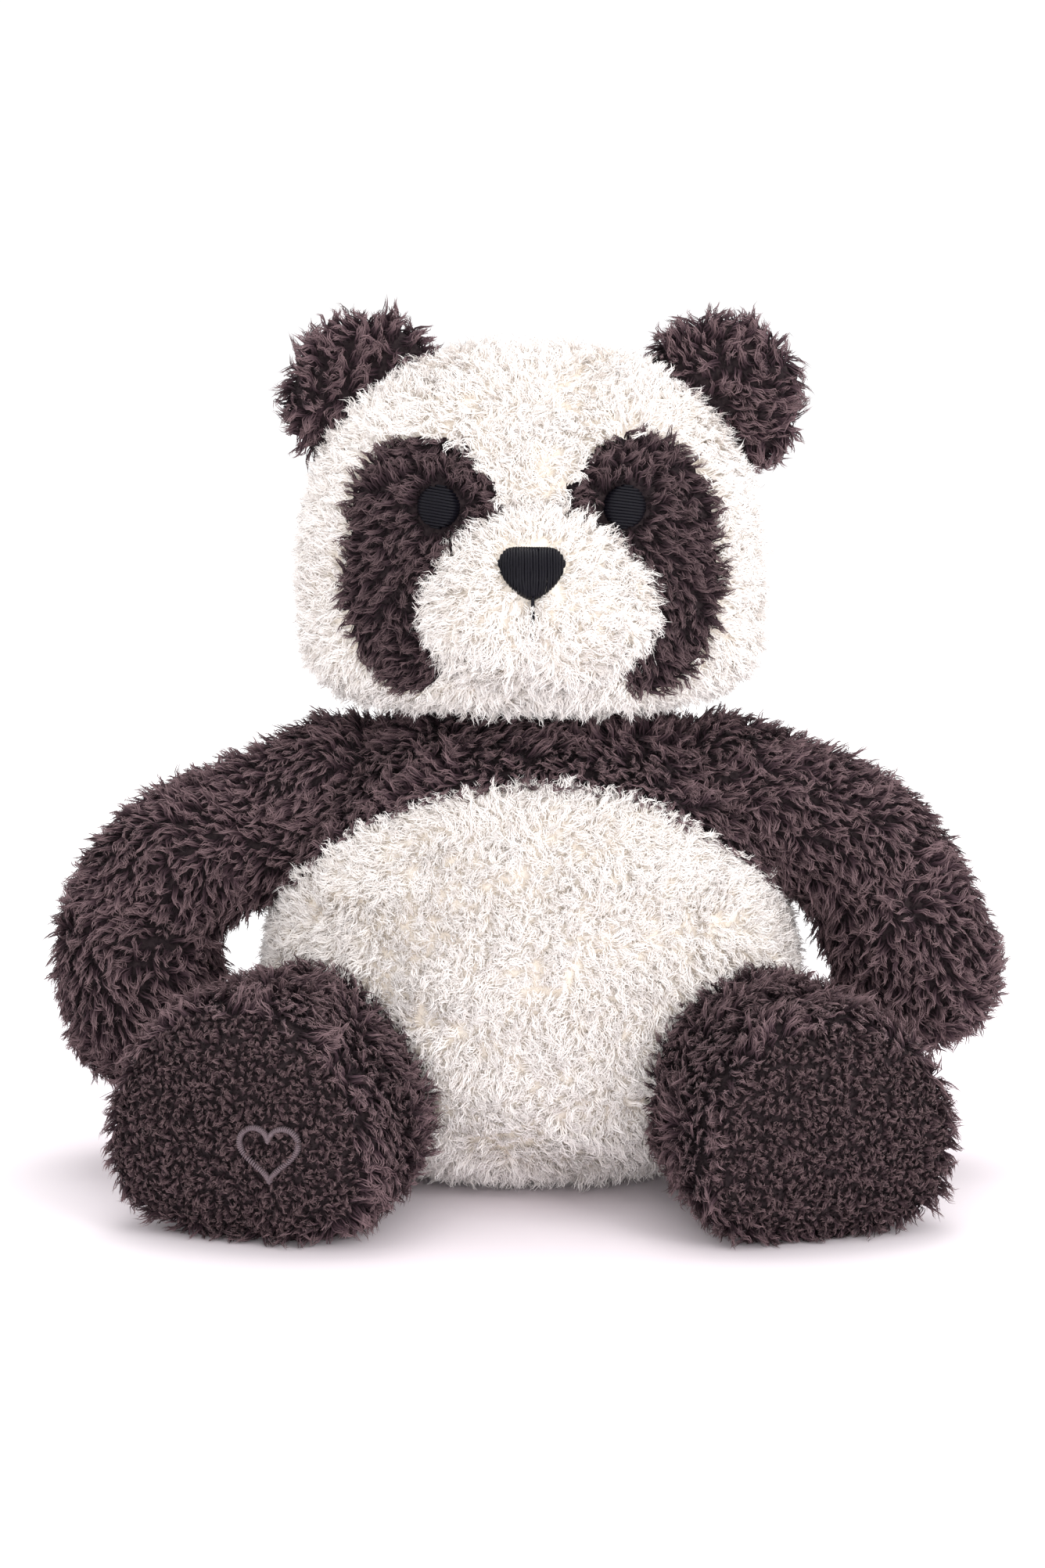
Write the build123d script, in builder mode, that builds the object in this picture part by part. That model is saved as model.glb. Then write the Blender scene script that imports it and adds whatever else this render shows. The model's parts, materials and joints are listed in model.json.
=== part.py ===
"""A seated plush panda: sewn pile-fabric covers round soft stuffing.

The head, two arms and two legs flex. Millimetres. +Z is up, the panda faces -Y, and +X is on its
left-hand side. The origin is the middle of the flat face that it sits on. Every cover is a separate
shell round its own stuffing.
"""

import os
from math import cos, radians, sin, sqrt

from build123d import *

os.makedirs("parts", exist_ok=True)

# Fabric and clearances
pile = 3.0  # a cover's thickness: the cloth and the lower half of its pile
gap = 0.4  # space between two pieces that move against each other
satin = 1.2  # height of the padded satin stitching on the eyes and the nose
thread = 0.7  # height of a single embroidered line
thread_width = 1.6

# Torso: a pear turned about Z, then made shallower from front to back
belly_half_width = 80.5
belly_half_depth = 70.0
belly_height = 42.0
seat_radius = 52.0
collar_radius = 27.0
collar_height = 137.0
seat_panel_height = 6.0
seat_trim = 1.0  # cut off level under the torso, so that it rests on a true flat face
yoke_seam_top = 121.0  # height on the middle line of the seam between the dark yoke and the white belly
yoke_seam_end = (72.0, 83.0)  # where the same seam runs in under the arm
closing_seam_height = 62.0  # of the middle of the hand-sewn seam in the back
closing_seam_length = 56.0

# Neck: one ball of stuffing, about which the head turns and nods
neck_radius = 25.0
neck_centre = (0, 0, 126.0)

# Head: a wide pear with low cheeks
head_half_width = 67.0
head_half_depth = 51.0
chin_half_width = 41.0
head_low = 143.5
crown_half_width = 26.0
head_top = 247.5
head_middle_y = -3.0
cheek_height = 178.0

# Muzzle: a barrel across the face
muzzle_half_width = 33.0
muzzle_radius = 25.0
muzzle_centre = (0, -50.0, 174.0)

# Face
patch_upper_place = (30.0, 196.0)  # each dark patch is two ovals, one round the eye
patch_upper_radii = (22.5, 26.5)
patch_lower_place = (40.5, 171.5)  # and one down the cheek
patch_lower_radii = (15.0, 27.0)
patch_lower_lean = 14.0
eye_radius = 5.4
eye_place = (26.7, 203.0)
nose_half_width = 8.7
nose_top = 193.0
nose_low = 179.5
nose_corner = 2.0
nose_waist_share = 0.9  # of its top's width, half way down
nose_foot_share = 0.25
mouth_low = 166.0

# Ears: thick round pads
ear_radius = 23.0
ear_half_thickness = 9.0
ear_centre = (55.0, 3.0, 231.0)
ear_pile = 2.5

# Arms: round tubes bent once at the elbow; the left one is held straighter
arm_radius = 22.5
shoulder = (57.0, 0.0, 112.0)
left_elbow = (101.0, -2.0, 100.0)
left_hand = (121.0, -4.0, 60.0)
left_bend = 45.0
right_elbow = (131.0, -2.0, 82.0)
right_hand = (119.0, -4.0, 48.0)
right_bend = 36.0

# Legs: blunt cones that lie on the floor and point forwards and outwards
sole_radius = 36.5
hip_radius = 28.0
leg_splay = 20.0
sole_centre = (85.5, -105.0)
leg_length = 84.0
leg_swing = 12.0  # degrees that a leg turns outwards, and its socket leaves room for it
sole_corner = 7.0
sole_crown = 3.0
sole_depth = 6.0  # how far behind the sole's face its seam runs
motif_half_width = 8.5
motif_place = (14.0, -7.0)  # towards the middle of the panda and down, from the sole's centre

# Weight in the seat
pouch_radius = 32.0
pouch_half_height = 13.0
pouch_centre = (0, 16.0, 24.0)
pouch_cloth = 1.0

far = 200.0  # longer than any single piece of the panda


def save(part, name):
    """Labels one finished piece and writes it."""
    part.label = name
    export_step(part, "parts/" + name + ".step")


def less(body, *cutters):
    """The body with each cutter taken out of it."""
    with BuildPart() as cut:
        add(body)
        for cutter in cutters:
            add(cutter, mode=Mode.SUBTRACT)
    return cut.part


def within(body, region):
    """What the body and the region share."""
    with BuildPart() as shared:
        add(body)
        add(region, mode=Mode.INTERSECT)
    return shared.part


def half(body, plane, side):
    """The part of the body on one side of a plane."""
    with BuildPart() as kept:
        add(body)
        split(bisect_by=plane, keep=side)
    return kept.part


def ball(centre, radius):
    """A ball of that radius."""
    with BuildPart() as whole:
        with Locations(centre):
            Sphere(radius)
    return whole.part


def pear(wide, low, high, inset):
    """A solid turned about Z from two arcs between level ends, drawn in all round by the inset.

    Each of wide, low and high is a half width and a height, and both arcs are upright at the
    widest point.
    """
    ends = []
    for corner, level in ((low, low[1] + inset), (high, high[1] - inset)):
        across = wide[0] - corner[0]
        radius = (across**2 + (wide[1] - corner[1]) ** 2) / (2 * across)
        middle = (level + wide[1]) / 2
        reach = []
        for height in (level, middle):
            reach.append(wide[0] - radius + sqrt((radius - inset) ** 2 - (height - wide[1]) ** 2))
        ends.append(((reach[0], level), (reach[1], middle)))
    (foot, foot_side), (top, top_side) = ends
    belt = (wide[0] - inset, wide[1])
    with BuildPart() as turned:
        with BuildSketch(Plane.XZ):
            with BuildLine():
                Line((0, foot[1]), foot)
                ThreePointArc(foot, foot_side, belt)
                ThreePointArc(belt, top_side, top)
                Line(top, (0, top[1]))
                Line((0, top[1]), (0, foot[1]))
            make_face()
        revolve(axis=Axis.Z)
    return turned.part


def shallow(body, depth_ratio, middle_y):
    """The body made shallower from front to back, then moved along Y."""
    with BuildPart() as flattened:
        add(body)
        scale(by=(1, depth_ratio, 1), about=(0, 0, 0))
    with BuildPart() as placed:
        with Locations((0, middle_y, 0)):
            add(flattened.part)
    return placed.part


def barrel(centre, half_length, radius):
    """An ellipse turned about a line along X through its centre."""
    plane = Plane(origin=centre, x_dir=(1, 0, 0), z_dir=(0, -1, 0))
    with BuildPart() as turned:
        with BuildSketch(plane):
            with BuildLine():
                EllipticalCenterArc((0, 0), half_length, radius, start_angle=0, arc_size=90)
                EllipticalCenterArc((0, 0), half_length, radius, start_angle=90, arc_size=90)
                Line((-half_length, 0), (half_length, 0))
            make_face()
        revolve(axis=Axis(centre, (1, 0, 0)))
    return turned.part


def lens(centre, axis, half_thickness, radius, inset):
    """Two shallow round caps that meet in a seam round the rim, drawn in all round by the inset."""
    cap_radius = (radius**2 + half_thickness**2) / (2 * half_thickness)
    back = cap_radius - half_thickness
    cap_radius -= inset
    thick = cap_radius - back
    rim = sqrt(cap_radius**2 - back**2)
    between = sqrt(cap_radius**2 - rim**2 / 4) - back
    plane = Plane(origin=centre, x_dir=axis, z_dir=(1, 0, 0))
    with BuildPart() as turned:
        with BuildSketch(plane):
            with BuildLine():
                ThreePointArc((-thick, 0), (-between, rim / 2), (0, rim))
                ThreePointArc((0, rim), (between, rim / 2), (thick, 0))
                Line((thick, 0), (-thick, 0))
            make_face()
        revolve(axis=Axis(centre, axis))
    return turned.part


# ---------------------------------------------------------------- the bodies' outer shapes


def arm_line(side):
    """Shoulder, elbow and hand of one arm, and the radius of its bend."""
    elbow, hand, bend = (left_elbow, left_hand, left_bend)
    if side < 0:
        elbow, hand, bend = (right_elbow, right_hand, right_bend)
    return [(side * x, y, z) for x, y, z in (shoulder, elbow, hand)], bend


def arm_tube(side, radius):
    """One arm: a round tube along a bent line, with a ball at the shoulder and at the hand."""
    points, bend = arm_line(side)
    with BuildPart() as tube:
        with BuildLine() as path:
            FilletPolyline(*points, radius=bend)
        with BuildSketch(Plane(origin=path.line @ 0, z_dir=path.line % 0)):
            Circle(radius)
        sweep(path=path.line)
        with Locations(points[0], points[-1]):
            Sphere(radius)
    return tube.part


def leg_frame(side):
    """A plane that holds one leg's axis: its origin is the hip's centre and its X runs out to the sole."""
    out_x = side * sin(radians(leg_splay))
    out_y = -cos(radians(leg_splay))
    hip_x = side * sole_centre[0] - leg_length * out_x
    hip_y = sole_centre[1] - leg_length * out_y
    return Plane(origin=(hip_x, hip_y, sole_radius), x_dir=(out_x, out_y, 0), z_dir=(out_y, -out_x, 0))


def leg_cone(side, inset):
    """One leg: a cone from a ball at the hip to a blunt, slightly crowned sole, drawn in by the inset."""
    frame = leg_frame(side)
    hip = hip_radius - inset
    rim = sole_radius - inset
    face = leg_length - inset
    corner = sole_corner - max(inset, 0) / 2
    crown_radius = ((rim - corner) ** 2 + sole_crown**2) / (2 * sole_crown)
    half_way = (rim - corner) / 2
    crown_there = face + sole_crown - crown_radius + sqrt(crown_radius**2 - half_way**2)
    with BuildPart() as cone:
        with BuildSketch(frame):
            with BuildLine():
                ThreePointArc((-hip, 0), (-hip / sqrt(2), hip / sqrt(2)), (0, hip))
                Line((0, hip), (face - corner, rim))
                ThreePointArc(
                    (face - corner, rim),
                    (face - corner * (1 - sqrt(0.5)), rim - corner * (1 - sqrt(0.5))),
                    (face, rim - corner),
                )
                ThreePointArc((face, rim - corner), (crown_there, half_way), (face + sole_crown, 0))
                Line((face + sole_crown, 0), (-hip, 0))
            make_face()
        revolve(axis=Axis(frame.origin, frame.x_dir))
    return cone.part


def torso_body(inset):
    """The torso's outer shape, drawn in by the inset."""
    low = (seat_radius, -seat_trim)
    turned = pear((belly_half_width, belly_height), low, (collar_radius, collar_height), inset)
    rounded = shallow(turned, belly_half_depth / belly_half_width, 0)
    return half(rounded, Plane.XY.offset(inset), Keep.TOP)


def head_body(inset):
    """The head's outer shape, drawn in by the inset."""
    low = (chin_half_width, head_low)
    turned = pear((head_half_width, cheek_height), low, (crown_half_width, head_top), inset)
    return shallow(turned, head_half_depth / head_half_width, head_middle_y)


def muzzle_body(inset):
    """The muzzle's outer shape, drawn in by the inset."""
    return barrel(muzzle_centre, muzzle_half_width - inset, muzzle_radius - inset)


torso = torso_body(0)
head = head_body(0)
muzzle = muzzle_body(0)
pouch = lens(pouch_centre, (0, 0, 1), pouch_half_height, pouch_radius, 0)

neck_socket = ball(neck_centre, neck_radius + gap)
arm_sockets = [arm_tube(side, arm_radius + gap) for side in (1, -1)]
leg_sockets = []
for side in (1, -1):
    hip = Axis(leg_frame(side).origin, (0, 0, side))
    for share in (0, 0.5, 1):
        leg_sockets.append(leg_cone(side, -gap).rotate(hip, share * leg_swing))

# ---------------------------------------------------------------- torso covers and filling
torso_core = torso_body(pile)
torso_skin = less(torso, torso_core, neck_socket, *arm_sockets, *leg_sockets)

# The seam between yoke and belly is one arc, seen from the front, and the back has the same seam.
arch_rise = yoke_seam_top - yoke_seam_end[1]
arch_radius = (yoke_seam_end[0] ** 2 + arch_rise**2) / (2 * arch_rise)
with BuildPart() as arch:
    with BuildSketch(Plane.XZ.offset(-far)):
        with Locations((0, yoke_seam_top - arch_radius)):
            Circle(arch_radius)
    extrude(amount=2 * far)

seat_level = Plane.XY.offset(seat_panel_height)
middle_plane = Plane.XZ
yoke_skin = less(torso_skin, arch.part)
trunk_skin = within(torso_skin, arch.part)
upper_trunk_skin = half(trunk_skin, seat_level, Keep.TOP)

save(half(yoke_skin, middle_plane, Keep.TOP), "chest_yoke")
save(half(yoke_skin, middle_plane, Keep.BOTTOM), "back_yoke")
save(half(upper_trunk_skin, middle_plane, Keep.TOP), "belly_panel")
save(half(upper_trunk_skin, middle_plane, Keep.BOTTOM), "back_panel")
save(half(trunk_skin, seat_level, Keep.BOTTOM), "seat_panel")
save(less(torso_core, neck_socket, *arm_sockets, *leg_sockets, pouch), "torso_stuffing")

pellets = lens(pouch_centre, (0, 0, 1), pouch_half_height, pouch_radius, pouch_cloth)
save(less(pouch, pellets), "pellet_pouch")
save(pellets, "pellets")

# The hand-sewn closing seam stands a thread's height above the back panel.
with BuildPart() as back_slot:
    with BuildSketch(Plane.XZ.offset(-far)):
        with Locations((0, closing_seam_height)):
            SlotOverall(closing_seam_length, thread_width, rotation=90)
    extrude(amount=far)
save(less(within(torso_body(-thread), back_slot.part), torso), "closing_seam")

# ---------------------------------------------------------------- neck
save(ball(neck_centre, neck_radius), "neck_stuffing")

# ---------------------------------------------------------------- head covers and filling
head_core = head_body(pile)
head_skin = less(head, head_core, neck_socket)
face_skin = half(head_skin, middle_plane, Keep.TOP)
save(half(head_skin, middle_plane, Keep.BOTTOM), "head_back_cover")
save(less(head_core, neck_socket), "head_stuffing")

patches = []
for side, name in ((1, "left"), (-1, "right")):
    with BuildPart() as patch_column:
        with BuildSketch(Plane.XZ):
            with Locations((side * patch_upper_place[0], patch_upper_place[1])):
                Ellipse(*patch_upper_radii)
            with Locations((side * patch_lower_place[0], patch_lower_place[1])):
                Ellipse(*patch_lower_radii, rotation=-side * patch_lower_lean)
        extrude(amount=far)
    patches.append(patch_column.part)
    save(within(face_skin, patch_column.part), "eye_patch_" + name)
save(less(face_skin, *patches), "face_cover")

muzzle_core = muzzle_body(pile)
save(less(muzzle, muzzle_core, head), "muzzle_cover")
save(less(muzzle_core, head), "muzzle_stuffing")

for side, name in ((1, "left"), (-1, "right")):
    with BuildPart() as eye_column:
        with BuildSketch(Plane.XZ):
            with Locations((side * eye_place[0], eye_place[1])):
                Circle(eye_radius)
        extrude(amount=far)
    save(less(within(head_body(-satin), eye_column.part), head), "eye_" + name)

nose_middle = (nose_top + nose_low) / 2
muzzle_front = Plane.XZ.offset(-muzzle_centre[1])
with BuildPart() as nose_column:
    with BuildSketch(muzzle_front):
        with BuildLine():
            Polyline(
                (-nose_half_width, nose_top),
                (nose_half_width, nose_top),
                (nose_waist_share * nose_half_width, nose_middle),
                (nose_foot_share * nose_half_width, nose_low),
                (-nose_foot_share * nose_half_width, nose_low),
                (-nose_waist_share * nose_half_width, nose_middle),
                close=True,
            )
        make_face()
        fillet(vertices(), radius=nose_corner)
    extrude(amount=far)
save(less(within(muzzle_body(-satin), nose_column.part), muzzle), "nose")

with BuildPart() as mouth_column:
    with BuildSketch(muzzle_front):
        with Locations((0, (nose_low + mouth_low) / 2)):
            Rectangle(thread_width, nose_low - mouth_low)
    extrude(amount=far)
save(less(within(muzzle_body(-thread), mouth_column.part), muzzle), "mouth_stitch")

for side, name in ((1, "left"), (-1, "right")):
    centre = (side * ear_centre[0], ear_centre[1], ear_centre[2])
    ear = lens(centre, (0, 1, 0), ear_half_thickness, ear_radius, 0)
    ear_core = lens(centre, (0, 1, 0), ear_half_thickness, ear_radius, ear_pile)
    ear_skin = less(ear, ear_core, head)
    ear_plane = Plane.XZ.offset(-ear_centre[1])
    save(half(ear_skin, ear_plane, Keep.TOP), "ear_front_" + name)
    save(half(ear_skin, ear_plane, Keep.BOTTOM), "ear_back_" + name)
    save(less(ear_core, head), "ear_wadding_" + name)

# ---------------------------------------------------------------- arms
for side, name in ((1, "left"), (-1, "right")):
    arm = arm_tube(side, arm_radius)
    arm_core = arm_tube(side, arm_radius - pile)
    arm_skin = less(arm, arm_core)
    (start, elbow, hand), bend = arm_line(side)
    facing = (Vector(*hand) - Vector(*start)).cross(Vector(*elbow) - Vector(*start))
    seam = Plane(origin=start, z_dir=facing * (-1 if facing.Y > 0 else 1))
    save(half(arm_skin, seam, Keep.TOP), "arm_front_" + name)
    save(half(arm_skin, seam, Keep.BOTTOM), "arm_back_" + name)
    save(arm_core, "arm_stuffing_" + name)

# ---------------------------------------------------------------- legs and feet
for side, name in ((1, "left"), (-1, "right")):
    frame = leg_frame(side)
    leg = leg_cone(side, 0)
    leg_core = leg_cone(side, pile)
    leg_skin = less(leg, leg_core)
    sole_seam = Plane(origin=frame.from_local_coords((leg_length - sole_depth, 0, 0)), z_dir=frame.x_dir)
    save(half(leg_skin, sole_seam, Keep.TOP), "sole_" + name)
    save(half(leg_skin, sole_seam, Keep.BOTTOM), "leg_cover_" + name)
    save(leg_core, "leg_stuffing_" + name)

# A heart outlined in thread on the right foot's sole
right_frame = leg_frame(-1)
across = Vector(0, 0, 1).cross(right_frame.x_dir)
sole_plane = Plane(
    origin=right_frame.from_local_coords((leg_length, 0, 0)), x_dir=across, z_dir=right_frame.x_dir
)


def heart(half_width):
    """A heart: two round lobes, and the square between them standing on one corner."""
    lobe = half_width / (1 + sqrt(0.5))
    with BuildSketch(sole_plane) as outline:
        with Locations(motif_place):
            with Locations((-lobe * sqrt(0.5), 0), (lobe * sqrt(0.5), 0)):
                Circle(lobe)
            with Locations((0, -lobe * sqrt(0.5))):
                Rectangle(2 * lobe, 2 * lobe, rotation=45)
    return outline.sketch


with BuildPart() as motif_column:
    extrude(heart(motif_half_width), amount=sole_depth, dir=sole_plane.z_dir)
    inside = heart(motif_half_width - thread_width)
    extrude(inside, amount=sole_depth, dir=sole_plane.z_dir, mode=Mode.SUBTRACT)
save(less(within(leg_cone(-1, -thread), motif_column.part), leg_cone(-1, 0)), "foot_motif")
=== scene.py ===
"""A seated plush panda: skins shaped in code, puffed by cloth simulation and grown over with pile."""

import json
import bpy
import numpy as np
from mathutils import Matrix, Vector
from mathutils.bvhtree import BVHTree
from mathutils.kdtree import KDTree


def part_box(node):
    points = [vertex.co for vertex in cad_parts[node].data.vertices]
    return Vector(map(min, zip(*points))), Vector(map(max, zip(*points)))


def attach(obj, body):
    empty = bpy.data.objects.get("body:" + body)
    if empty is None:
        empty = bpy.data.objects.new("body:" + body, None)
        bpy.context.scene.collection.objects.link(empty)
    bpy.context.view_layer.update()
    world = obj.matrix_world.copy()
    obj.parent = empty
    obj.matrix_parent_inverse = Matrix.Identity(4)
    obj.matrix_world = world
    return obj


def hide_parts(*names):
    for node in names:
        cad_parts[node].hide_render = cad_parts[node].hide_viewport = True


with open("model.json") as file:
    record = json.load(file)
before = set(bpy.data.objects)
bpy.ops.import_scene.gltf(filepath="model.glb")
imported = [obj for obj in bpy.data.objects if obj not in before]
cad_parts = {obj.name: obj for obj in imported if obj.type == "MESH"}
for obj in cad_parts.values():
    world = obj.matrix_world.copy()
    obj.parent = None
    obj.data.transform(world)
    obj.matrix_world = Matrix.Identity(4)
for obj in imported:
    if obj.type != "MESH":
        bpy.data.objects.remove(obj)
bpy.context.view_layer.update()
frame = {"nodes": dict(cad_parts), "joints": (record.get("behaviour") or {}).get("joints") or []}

scene = bpy.context.scene
MM = 0.001
FAR = 99.0  # further than any seam reaches
rng = np.random.default_rng(11)
UV_NAME = "OFBake"  # the one UV layer of the pile: shade across, root to tip upwards
SHADES = 16  # how many shades of lock one piece of pile has
UP = np.array([0.0, 0.0, 1.0])
DOWN = -UP
BACKWARDS = np.array([0.0, 1.0, 0.0])
IN_PLAN = (1, 0, 1)  # keeps a vector in the plane of the face: across and up
FLOOR_GAP = 0.5  # the lowest that pile reaches, in millimetres

VOXEL = 4.0
LAST_FRAME = 20
FABRIC = dict(
    quality=4, mass=0.3, tension_stiffness=15, compression_stiffness=15, shear_stiffness=5,
    bending_stiffness=0.5, use_pressure=True, uniform_pressure_force=4.0,
)
CAP = 2.0  # the furthest that stuffing moves a skin, in millimetres
CANDIDATES = 5  # places tried for each lock that is kept
CLEARANCE = 0.8  # of the spacing, which no two locks come within

# How far a skin lies inside the CAD cover's face, and how long the locks on it are
SKIN_INSET = 1.5
LOCK = 7.8
SHORT_LOCK = 3.9


# ---- places taken from the CAD frame
def box_mm(*nodes):
    """Lowest and highest corner of some CAD nodes together, in millimetres."""
    corners = [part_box(node) for node in nodes]
    low = np.min([np.array(c[0]) for c in corners], axis=0) / MM
    high = np.max([np.array(c[1]) for c in corners], axis=0) / MM
    return low, high


def joint_place(name):
    """Where a joint is, in millimetres."""
    found = next(joint for joint in frame["joints"] if joint["name"] == name)
    return np.array(found["pos_m"], float) / MM


HEAD_LOW, HEAD_HIGH = box_mm("face_cover", "head_back_cover")
TORSO_LOW, TORSO_HIGH = box_mm("belly_panel", "back_panel", "seat_panel", "chest_yoke")
MUZZLE_LOW, MUZZLE_HIGH = box_mm("muzzle_cover")
HEAD_MIDDLE = (HEAD_LOW + HEAD_HIGH) / 2
NECK = joint_place("head_turn")
SIDES = {"left": 1, "right": -1}


# ---- small mesh tools
def unit(v):
    """Rows of v made one long."""
    return v / np.maximum(np.linalg.norm(v, axis=-1, keepdims=True), 1e-9)


def turns(count):
    """Angles evenly round a full turn."""
    return np.linspace(0, 2 * np.pi, count, endpoint=False)


def new_object(name, data):
    """An object in the scene."""
    obj = bpy.data.objects.new(name, data)
    scene.collection.objects.link(obj)
    return obj


def flat_mesh(name, points_mm, faces_by_size, check=True):
    """A smooth mesh object: points in millimetres, and one array of corner numbers for each face size."""
    mesh = bpy.data.meshes.new(name)
    mesh.vertices.add(len(points_mm))
    mesh.vertices.foreach_set("co", (np.asarray(points_mm) * MM).astype(np.float32).ravel())
    corners = np.concatenate([f.ravel() for f in faces_by_size]).astype(np.int32)
    sizes = np.concatenate([np.full(len(f), f.shape[1], np.int32) for f in faces_by_size])
    mesh.loops.add(len(corners))
    mesh.loops.foreach_set("vertex_index", corners)
    mesh.polygons.add(len(sizes))
    mesh.polygons.foreach_set("loop_start", np.concatenate([[0], np.cumsum(sizes)[:-1]]).astype(np.int32))
    mesh.polygons.foreach_set("use_smooth", np.ones(len(sizes), bool))
    mesh.update(calc_edges=True)
    if check:
        mesh.validate()
    return new_object(name, mesh)


def lathe_mesh(name, rings):
    """A closed skin from rings of points, all with the same number of points, ended by two single points."""
    first, *middle, last = rings
    count = len(middle[0])
    points = np.concatenate([[first], *middle, [last]])
    start = 1 + count * np.arange(len(middle))
    around = np.arange(count)
    after = (around + 1) % count
    quads = [np.stack([s + around, s + after, s + count + after, s + count + around], 1) for s in start[:-1]]
    caps = [
        np.stack([np.zeros(count, int), 1 + after, 1 + around], 1),
        np.stack([start[-1] + around, start[-1] + after, np.full(count, len(points) - 1)], 1),
    ]
    return flat_mesh(name, points, [np.concatenate(quads), np.concatenate(caps)])


def read(items, attribute, kind=np.float32):
    """Three values of each item in a mesh collection, as rows."""
    out = np.empty(len(items) * 3, kind)
    items.foreach_get(attribute, out)
    return out.reshape(-1, 3)


def points_of(obj):
    """The object's mesh points in millimetres."""
    return read(obj.data.vertices, "co").astype(float) / MM


def move_points(obj, points_mm):
    """Puts the object's mesh points where they are given, in millimetres."""
    obj.data.vertices.foreach_set("co", (points_mm * MM).astype(np.float32).ravel())
    obj.data.update()


def normals_of(obj):
    """The object's point normals."""
    return read(obj.data.vertex_normals, "vector").astype(float)


def apply_modifier(obj, modifier):
    """Bakes one modifier into the object's own mesh."""
    bpy.context.view_layer.objects.active = obj
    with bpy.context.temp_override(object=obj, active_object=obj):
        bpy.ops.object.modifier_apply(modifier=modifier.name)


def remesh(obj):
    """Even quads all over the skin."""
    modifier = obj.modifiers.new("even", "REMESH")
    modifier.mode = "VOXEL"
    modifier.voxel_size = VOXEL * MM
    modifier.use_smooth_shade = True
    apply_modifier(obj, modifier)
    smooth = obj.modifiers.new("smooth", "SMOOTH")
    smooth.iterations = 4
    smooth.factor = 0.5
    apply_modifier(obj, smooth)


def puff_together(skins):
    """The skins blown up by their filling: cloth with pressure and no gravity, held within CAP."""
    stuffed = []
    for skin in skins:
        cloth = skin.modifiers.new("fabric", "CLOTH")
        for setting, value in FABRIC.items():
            setattr(cloth.settings, setting, value)
        cloth.settings.effector_weights.gravity = 0
        cloth.collision_settings.use_collision = False
        cloth.point_cache.frame_start = 1
        cloth.point_cache.frame_end = LAST_FRAME
        stuffed.append((skin, cloth, points_of(skin)))
    for step in range(1, LAST_FRAME + 1):
        scene.frame_set(step)
    for skin, cloth, rest in stuffed:
        apply_modifier(skin, cloth)
        shift = points_of(skin) - rest
        reach = np.linalg.norm(shift, axis=1, keepdims=True)
        move_points(skin, rest + shift * np.minimum(1, CAP / np.maximum(reach, 1e-9)))
    scene.frame_set(1)


def seam_sink(obj, distance, depth, width):
    """Draws the skin in along a seam: distance is each point's distance from the seam, in millimetres."""
    points = points_of(obj)
    pull = depth * np.exp(-((distance / width) ** 2))
    move_points(obj, points - normals_of(obj) * pull[:, None])


# ---- the skins' shapes
def superellipse(share, power):
    """Relative width at a share of the way from the widest place to the end."""
    return np.maximum(0, 1 - np.abs(share) ** power) ** (1 / power)


def signed_power(value, power):
    """A power that keeps the value's sign."""
    return np.sign(value) * np.abs(value) ** power


def stacked(name, levels, half_width, half_depth, middle, plan_power, around=72):
    """A skin of level rings, each a superellipse in plan. The first and last levels close to a point."""
    turn = turns(around)
    across, forth = (signed_power(wave, 2 / plan_power) for wave in (np.cos(turn), np.sin(turn)))
    rings = [
        np.stack([middle[0] + wide * across, middle[1] + deep * forth, np.full(around, z)], 1)
        for z, wide, deep in zip(levels, half_width, half_depth)
    ]
    rings[0], rings[-1] = (*middle, levels[0]), (*middle, levels[-1])
    return lathe_mesh(name, rings)


def heights(low, widest, high, count=36):
    """Levels from low to high, closer at both ends, and how far each is from the widest one (-1 to 1)."""
    share = np.sin(np.linspace(-np.pi / 2, np.pi / 2, count))
    return np.where(share < 0, widest + share * (widest - low), widest + share * (high - widest)), share


def along(name, places, radii, side_axis, around=40):
    """A skin of round rings along a line. The first and last radius are nothing, so it is closed."""
    tangents = unit(np.gradient(places, axis=0))
    across = unit(np.cross(tangents, side_axis))
    up = np.cross(across, tangents)
    turn = turns(around)
    rings = []
    for place, radius, a, u in zip(places, radii, across, up):
        rings.append(place + radius * (np.cos(turn)[:, None] * a + np.sin(turn)[:, None] * u))
    rings[0], rings[-1] = places[0], places[-1]
    return lathe_mesh(name, rings)


# Head: full cheeks low down, boxy at the chin and rounder at the crown
CHEEK_HEIGHT = 178.0
CHIN_POWER, CROWN_POWER, PLAN_POWER = 5.0, 2.3, 2.3


def head_shape():
    levels, share = heights(HEAD_LOW[2], CHEEK_HEIGHT, HEAD_HIGH[2] - SKIN_INSET)
    relative = np.where(share < 0, superellipse(share, CHIN_POWER), superellipse(share, CROWN_POWER))
    half_width = (HEAD_HIGH[0] - HEAD_LOW[0]) / 2
    half_depth = (HEAD_HIGH[1] - HEAD_LOW[1]) / 2 - SKIN_INSET
    wide, deep = half_width * relative, half_depth * relative
    return stacked("head_skin", levels, wide, deep, (0, HEAD_MIDDLE[1]), PLAN_POWER)


# Torso: a pear that sits flat, with full shoulders
BELLY_HEIGHT = 42.0
SEAT_POWER, SHOULDER_POWER = 2.7, 2.7
YOKE_POWER, YOKE_TAPER = 6.0, 0.40  # the shoulders are squarer from side to side than from front to back
WAIST_POWER = 2.1
NECK_ROOT = 1.5  # how far the torso rises round the neck


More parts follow.
